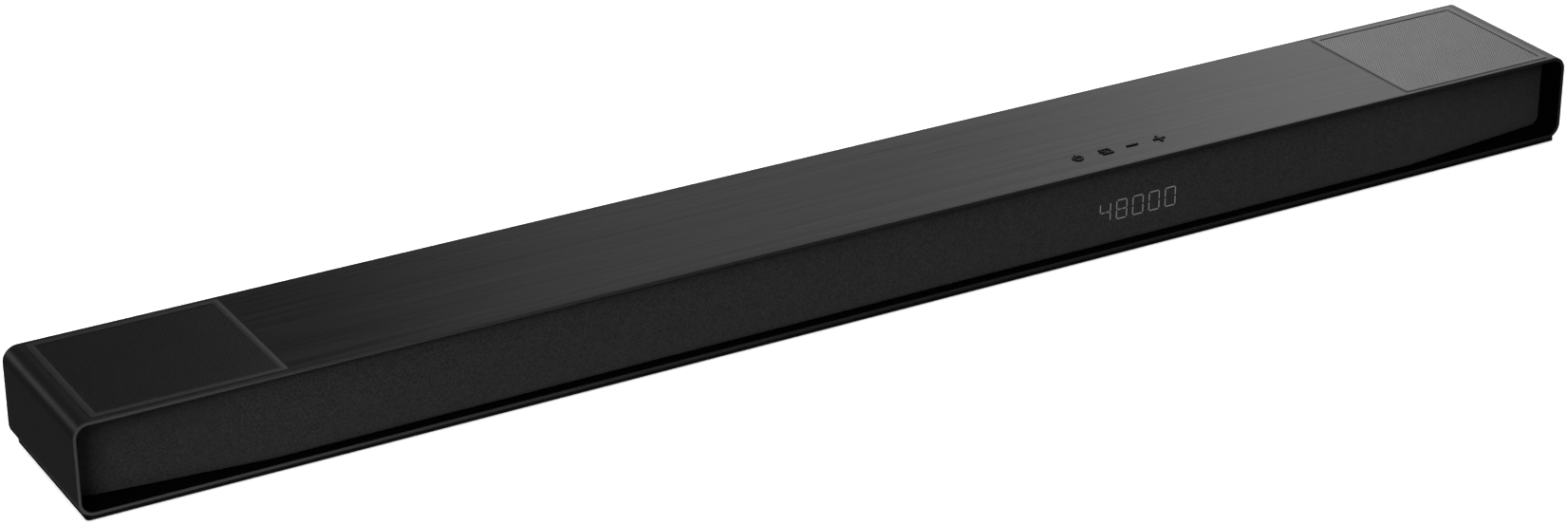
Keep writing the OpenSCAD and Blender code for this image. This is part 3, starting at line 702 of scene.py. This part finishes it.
def build_grille(side):
    """A sunk steel insert: a raised smooth border round a perforated field."""
    low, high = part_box(f"{side}_top_grille")
    centre = (low + high) / 2
    half = (high - low) / 2
    outline = rounded_outline(half.x, half.y, GRILLE_R, steps=6)

    def place(u, v, height):
        return (centre.x + u, centre.y + v, height)

    edge = BORDER_EDGE
    profile = [(0.0, low.z)]
    profile += arc((edge, high.z - edge), edge, 180, 90, steps=3)
    profile += arc((BORDER_W - edge, high.z - edge), edge, 90, 0, steps=3)
    profile += [(BORDER_W, low.z)]
    border = sweep_ring(outline, GRILLE_R, profile, place)
    width = 2 * (half.x - BORDER_W)
    depth = 2 * (half.y - BORDER_W)
    columns = round(width / HOLE_PITCH)
    rows = round(depth / (HOLE_PITCH * math.sqrt(3) / 2))
    field = perforated_sheet(
        centre.x - width / 2, centre.y - depth / 2, columns, rows,
        width / columns, depth / rows, TOP_Z, TOP_Z - FIELD_T, HOLE_R,
    )
    points, faces = join([border, field])
    grille = add_piece(f"{side}_grille", points, faces, "perforated_metal")
    grille.data.materials.append(BORDER_SATIN.material)
    for face in grille.data.polygons[:len(border[1])]:
        face.material_index = 1
    outward(grille)
    smooth_by_angle(grille.data)
    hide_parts(f"{side}_top_grille")


# ---- front: cloth over a rounded frame ----

CLOTH_ROUND = 3.0 * MM
CLOTH_T = 0.6 * MM
CLOTH_FIT = 0.3 * MM
MOULDING_T = 3 * MM
MOULDING_FIT = 0.4 * MM
BEHIND_CLOTH = 0.25 * MM
ROUND_STEPS = 7
STATIONS = 40
DRIVER_GAP = 3 * MM
DRIVER_STRAIGHT = 26 * MM
WINDOW_GAP = 0.3 * MM
RECEIVER_GAP = 1 * MM
THROUGH_FRONT = (-10 * MM, 60 * MM)


def front_at(x):
    """How far the front has slanted back at a place along the bar, with a soft kink."""
    past = abs(x) - KINK_X
    slope = math.tan(END_ANGLE)
    if past < -KINK_BLEND:
        return 0.0
    if past > KINK_BLEND:
        return past * slope
    return (past + KINK_BLEND) ** 2 * slope / (4 * KINK_BLEND)


def kink_stations(inner_w):
    """Places along a long side, in order from its +X end, as shares of its length."""
    places = [-KINK_X, KINK_X]
    for kink in (-KINK_X, KINK_X):
        places += [kink + KINK_BLEND * s for s in (-1, -0.5, 0.5, 1)]
    step = 2 * KINK_X / STATIONS
    places += [-KINK_X + step * i for i in range(1, STATIONS)]
    return sorted((inner_w - x) / (2 * inner_w) for x in places)


def front_shell(base_y, edge_r, gap, back=None):
    """The kinked front face with rounded edges, as points and faces.
    back closes it with a rear face that lies that far behind the front one."""
    half_w = HALF_LEN - WALL - gap
    half_h = HALF_H - WALL - gap
    radius = CORNER_R - WALL - gap
    stations = kink_stations(half_w - radius)
    outline = rounded_outline(half_w, half_h, radius, steps=8, stations=stations)
    turns = [math.pi / 2 * i / ROUND_STEPS for i in range(ROUND_STEPS + 1)]
    insets = [edge_r * (1 - math.cos(turn)) for turn in turns]
    drops = [edge_r * (1 - math.sin(turn)) for turn in turns]
    points = []
    if back is not None:
        insets.insert(0, 0.0)
        drops.insert(0, back)
    for inset, drop in zip(insets, drops):
        for u, v in ring_points(outline, radius, inset):
            points.append((u, base_y + front_at(u) + drop, MID_Z + v))
    around = len(outline)
    faces = []
    for i in range(len(insets) - 1):
        for k in range(around):
            m = (k + 1) % around
            faces.append((i * around + k, i * around + m, (i + 1) * around + m, (i + 1) * around + k))
    last = (len(insets) - 1) * around
    faces += cap(last, stations, around)
    if back is not None:
        faces += [face[::-1] for face in cap(0, stations, around)]
    return points, faces


def cap(first, stations, around):
    """Fills one ring of the front: a strip between the long sides, and one face at each end."""
    side = around // 2 - len(stations)
    half = side // 2
    count = len(stations)
    upper = [first + 2 * half + i for i in range(count)]
    lower = [first + around - 1 - i for i in range(count)]
    strips = [
        (upper[i], upper[i + 1], lower[i + 1], lower[i])
        for i in range(count - 1)
    ]
    right_end = tuple(range(first, first + 2 * half)) + (upper[0], lower[0])
    left_end = tuple(range(upper[-1], lower[-1] + 1))
    return strips + [right_end, left_end]


def build_front():
    """Cloth stretched over the front."""
    points, faces = front_shell(FABRIC_Y, CLOTH_ROUND, CLOTH_FIT)
    cloth = add_piece("front_cloth", points, faces, "fabric")
    outward(cloth)
    thick = cloth.modifiers.new("thickness", "SOLIDIFY")
    thick.thickness = CLOTH_T
    thick.offset = -1.0
    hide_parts("front_fabric")


def build_front_frame():
    """The rounded moulding that the cloth is stretched over, with openings for what lies behind."""
    face_y = FABRIC_Y + CLOTH_T + BEHIND_CLOTH
    gap = MOULDING_FIT + CLOTH_T
    points, faces = front_shell(face_y, CLOTH_ROUND - CLOTH_T, gap, back=MOULDING_T)
    moulding = add_piece("front_frame_rounded", points, faces, "black_plastic")
    outward(moulding)
    cut(moulding, driver_cuts() + window_cuts())
    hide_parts("front_frame")


def driver_cuts():
    """Stadium openings for the five forward-firing drivers."""
    parts = []
    for driver in FRONT_DRIVERS:
        low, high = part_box(f"{driver}_cone")
        centre = (low + high) / 2
        radius = (high.z - low.z) / 2 + DRIVER_GAP
        outline = arc((centre.x + DRIVER_STRAIGHT, centre.z), radius, -90, 90, steps=12)
        outline += arc((centre.x - DRIVER_STRAIGHT, centre.z), radius, 90, 270, steps=12)
        parts.append(prism(outline, *THROUGH_FRONT, lying))
    return parts


def window_cuts():
    """The display's opening and the remote receiver's."""
    parts = []
    for node, gap in (("display_window", WINDOW_GAP), ("remote_receiver", RECEIVER_GAP)):
        low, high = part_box(node)
        parts.append(prism(rectangle(low.xz, high.xz, gap), *THROUGH_FRONT, lying))
    return parts


# ---- display: a plain number in lit segments ----

DIGIT_W = 8 * MM
DIGIT_H = 12.8 * MM
STROKE = 0.7 * MM
SEGMENT_GAP = 0.65 * MM
TIP_SHARE = 0.35
READOUT_SUNK = 0.1 * MM
READOUT_PROUD = 0.06 * MM
READOUT = "48000"
SEGMENTS = {
    "top": ((0, 1), (1, 1)),
    "middle_left": ((0, 0.5), (0.5, 0.5)),
    "middle_right": ((0.5, 0.5), (1, 0.5)),
    "bottom": ((0, 0), (1, 0)),
    "upper_left": ((0, 0.5), (0, 1)),
    "upper_right": ((1, 0.5), (1, 1)),
    "lower_left": ((0, 0), (0, 0.5)),
    "lower_right": ((1, 0), (1, 0.5)),
}
LIT_SEGMENTS = {
    "4": ("upper_left", "upper_right", "middle_left", "middle_right", "lower_right"),
    "8": tuple(SEGMENTS),
    "0": ("top", "bottom", "upper_left", "upper_right", "lower_left", "lower_right"),
}


def segment_outline(start, end):
    """One lit bar with pointed ends, between two places in X and Z."""
    a, b = Vector(start), Vector(end)
    along = (b - a).normalized()
    side = Vector((-along.y, along.x)) * STROKE / 2
    a, b = a + along * SEGMENT_GAP, b - along * SEGMENT_GAP
    tip = along * STROKE * TIP_SHARE
    return [tuple(p) for p in (a - tip, a - side, b - side, b + tip, b + side, a + side)]


def build_display():
    """The readout that shows through the cloth."""
    boxes = islands("display_digits")
    parts = []
    for (low, high), digit in zip(boxes, READOUT):
        centre = (low + high) / 2
        left = centre.x - (DIGIT_W - STROKE) / 2
        floor = centre.z - (DIGIT_H - STROKE) / 2
        for name in LIT_SEGMENTS[digit]:
            (x0, z0), (x1, z1) = SEGMENTS[name]
            start = (left + x0 * (DIGIT_W - STROKE), floor + z0 * (DIGIT_H - STROKE))
            end = (left + x1 * (DIGIT_W - STROKE), floor + z1 * (DIGIT_H - STROKE))
            outline = segment_outline(start, end)
            parts.append(prism(outline, -FABRIC_Y - READOUT_SUNK, -FABRIC_Y + READOUT_PROUD, lying))
    points, faces = join(parts)
    readout = add_piece("lit_readout", points, faces, "digit_plastic", LIT.material, smooth=False)
    outward(readout)


# ---- screws with cross recesses ----

HEAD_H = 1.4 * MM
SHANK_R = 1.4 * MM
HEAD_EDGE = 0.3 * MM
CROSS_W = 0.9 * MM
CROSS_REACH = 1.7 * MM
CROSS_DEPTH = 1.0 * MM
TURNED_STEPS = 28


def turned(profile, place):
    """A closed solid turned from (radius, height) points whose two ends lie on the axis."""
    points = [place(0.0, 0.0, profile[0][1])]
    for radius, height in profile[1:-1]:
        for i in range(TURNED_STEPS):
            a = 2 * math.pi * i / TURNED_STEPS
            points.append(place(radius * math.cos(a), radius * math.sin(a), height))
    points.append(place(0.0, 0.0, profile[-1][1]))
    rings = len(profile) - 2
    end = len(points) - 1
    faces = []
    for i in range(TURNED_STEPS):
        j = (i + 1) % TURNED_STEPS
        faces.append((0, 1 + j, 1 + i))
        for ring in range(rings - 1):
            low, high = 1 + ring * TURNED_STEPS, 1 + (ring + 1) * TURNED_STEPS
            faces.append((low + i, low + j, high + j, high + i))
        last = 1 + (rings - 1) * TURNED_STEPS
        faces.append((last + i, last + j, end))
    return points, faces


def screw_place(low, high):
    """Where a screw's own (u, v, height) lies. Its head is below or behind."""
    centre = (low + high) / 2
    if high.z - low.z > high.y - low.y:
        return lambda u, v, h: (centre.x + u, centre.y + v, low.z + h)
    return lambda u, v, h: (centre.x + u, high.y - h, centre.z + v)


def build_case_screws():
    """The screws of the base and of the rear panel."""
    half, reach = CROSS_W / 2, CROSS_REACH
    cross = [
        (half, -reach), (half, -half), (reach, -half), (reach, half), (half, half), (half, reach),
        (-half, reach), (-half, half), (-reach, half), (-reach, -half), (-half, -half), (-half, -reach),
    ]
    bodies, recesses = [], []
    for low, high in islands("case_screws"):
        place = screw_place(low, high)
        head_r = (high.x - low.x) / 2
        length = max(high.y - low.y, high.z - low.z)
        profile = [
            (0, 0), (head_r - HEAD_EDGE, 0), (head_r, HEAD_EDGE),
            (head_r, HEAD_H), (SHANK_R, HEAD_H),
            (SHANK_R, length - HEAD_EDGE), (SHANK_R - HEAD_EDGE, length), (0, length),
        ]
        bodies.append(turned(profile, place))
        recesses.append(prism(cross, -CUT_PAST, CROSS_DEPTH, place))
    points, faces = join(bodies)
    screws = add_piece("case_screw_set", points, faces, "black_steel")
    outward(screws)
    cut(screws, recesses)
    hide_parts("case_screws")


# ---- softened edges on the carried-over pieces ----

SOFT_EDGES = {
    "top_plate": 0.12 * MM, "base_plate": 0.4 * MM, "rubber_feet": 0.35 * MM, "rear_panel": 0.3 * MM,
    "hdmi_sockets": 0.12 * MM, "usb_socket": 0.12 * MM, "optical_socket": 0.2 * MM,
    "mains_inlet": 0.3 * MM, "wall_mount_inserts": 0.25 * MM, "heat_sink": 0.15 * MM,
}
KEY_EDGE = 0.1 * MM


def soften_nodes():
    """Rounds the edges of the pieces that show."""
    for node, width in SOFT_EDGES.items():
        soften(node, width)
    for key in KEYS:
        soften(f"{key}_key", KEY_EDGE)


# ---- camera, lights and floor ----

# The camera's place and angles were fitted to the bar's outline in the photograph.
CAMERA_PLACE = Vector((-1.0901, -1.8242, 1.0190))
CAMERA_AZIMUTH = math.radians(-29.894)
CAMERA_ELEVATION = math.radians(25.372)
CAMERA_ROLL = math.radians(-0.185)
CAMERA_LENS = 91.13
SENSOR_W = 36
NEAREST_SEEN = 0.01
FLOOR_HALF = 12.0


def build_camera():
    """The camera at the photograph's angle."""
    back = Vector((
        math.sin(CAMERA_AZIMUTH) * math.cos(CAMERA_ELEVATION),
        -math.cos(CAMERA_AZIMUTH) * math.cos(CAMERA_ELEVATION),
        math.sin(CAMERA_ELEVATION),
    ))
    level = (-back).cross(Vector((0, 0, 1))).normalized()
    up = level.cross(-back)
    right = level * math.cos(CAMERA_ROLL) + up * math.sin(CAMERA_ROLL)
    up = up * math.cos(CAMERA_ROLL) - level * math.sin(CAMERA_ROLL)
    camera = bpy.data.objects.new("camera", bpy.data.cameras.new("camera"))
    camera.data.lens = CAMERA_LENS
    camera.data.sensor_width = SENSOR_W
    camera.data.clip_start = NEAREST_SEEN
    turned_to = Matrix((right, up, back)).transposed().to_4x4()
    camera.matrix_world = Matrix.Translation(CAMERA_PLACE) @ turned_to
    bpy.context.scene.collection.objects.link(camera)
    bpy.context.scene.camera = camera


def soft_light(name, place, target, size, power, glossy=True, diffuse=True):
    """A rectangular softbox that faces a target. It can spare the gloss or the matt surfaces."""
    data = bpy.data.lights.new(name, "AREA")
    data.shape = "RECTANGLE"
    data.size, data.size_y = size
    data.energy = power
    light = bpy.data.objects.new(name, data)
    light.location = place
    light.rotation_mode = "QUATERNION"
    light.rotation_quaternion = (Vector(place) - Vector(target)).to_track_quat("Z", "Y")
    light.visible_glossy = glossy
    light.visible_diffuse = diffuse
    bpy.context.scene.collection.objects.link(light)


def build_floor():
    """A plain pale floor that is only seen from above, and that the object's gloss doesn't mirror."""
    corners = [(u, v, 0) for u, v in rectangle((0, 0), (0, 0), FLOOR_HALF)]
    mesh = bpy.data.meshes.new("floor")
    mesh.from_pydata(corners, [], [(0, 1, 2, 3)])
    floor = bpy.data.objects.new("floor", mesh)
    bpy.context.scene.collection.objects.link(floor)
    paper = Shader("floor_paper", (0.9, 0.9, 0.9), 0.9, specular=0.0)
    paper.tint(paper.noise((3, 3, 3)), [(0.895, 0.895, 0.895), (0.905, 0.905, 0.905)])
    paper.set("Emission Color", (1.0, 1.0, 1.0, 1.0))
    paper.set("Emission Strength", 0.5)
    clear = paper.node("ShaderNodeBsdfTransparent").outputs[0]
    behind = paper.node("ShaderNodeNewGeometry").outputs["Backfacing"]
    mixed = paper.node("ShaderNodeMixShader", {0: behind, 1: paper.surface.outputs[0], 2: clear})
    paper.tree.links.new(mixed.outputs[0], paper.tree.nodes["Material Output"].inputs["Surface"])
    mesh.materials.append(paper.material)
    floor.visible_glossy = False
    floor.visible_diffuse = False
    floor.visible_shadow = False


def build_sky(seen, felt):
    """An even grey sky. seen is how bright the backdrop looks, and felt how much light it gives."""
    world = bpy.data.worlds.new("studio")
    bpy.context.scene.world = world
    world.use_nodes = True
    nodes, links = world.node_tree.nodes, world.node_tree.links
    mix = nodes.new("ShaderNodeMix")
    mix.data_type = "RGBA"
    mix.inputs["A"].default_value = (felt, felt, felt, 1.0)
    mix.inputs["B"].default_value = (seen, seen, seen, 1.0)
    links.new(nodes.new("ShaderNodeLightPath").outputs["Is Camera Ray"], mix.inputs["Factor"])
    links.new(mix.outputs["Result"], nodes["Background"].inputs["Color"])


def build_studio():
    """A pale floor under large soft lights."""
    bpy.context.scene.view_settings.view_transform = "Standard"
    build_floor()
    build_sky(seen=0.95, felt=0.07)
    soft_light("overhead", (0.0, 0.0, 3.0), (0, 0, 0), (4.0, 4.0), 100, glossy=False)
    soft_light("front_key", (-2.3, -1.8, 1.5), (-0.2, 0, 0), (1.3, 1.1), 50)
    soft_light("front_low", (-0.2, -1.2, -0.65), (-0.45, 0, 0), (0.7, 0.5), 4.0, diffuse=False)
    soft_light("right_wall", (2.6, 1.5, 1.3), (0.2, 0, 0), (2.4, 2.2), 18)
    soft_light("back_wall", (1.96, 2.87, 1.64), (0.0, 0, 0), (1.72, 1.3), 6.1)
    soft_light("left_back", (-1.7, 2.2, 0.75), (-0.5, 0, 0), (0.9, 0.7), 2.5)
    soft_light("rear_fill", (-0.2, 3.0, 1.2), (0, 0, 0), (2.4, 1.6), 110, glossy=False)
    soft_light("under", (0.0, 0.6, -2.0), (0, 0, 0), (3.0, 2.0), 40)
    soft_light("ceiling_gloss", (0.0, 0.3, 3.0), (0, 0, 0), (3.6, 3.0), 17, diffuse=False)
    soft_light("front_gloss", (2.2, -2.6, 1.0), (0, 0, 0), (3.4, 1.6), 10, diffuse=False)


# ---- everything together ----

build_camera()
dress_nodes()
build_sleeve()
for grille_side in SIDES:
    build_grille(grille_side)
build_front_frame()
build_front()
build_display()
build_case_screws()
soften_nodes()
build_studio()
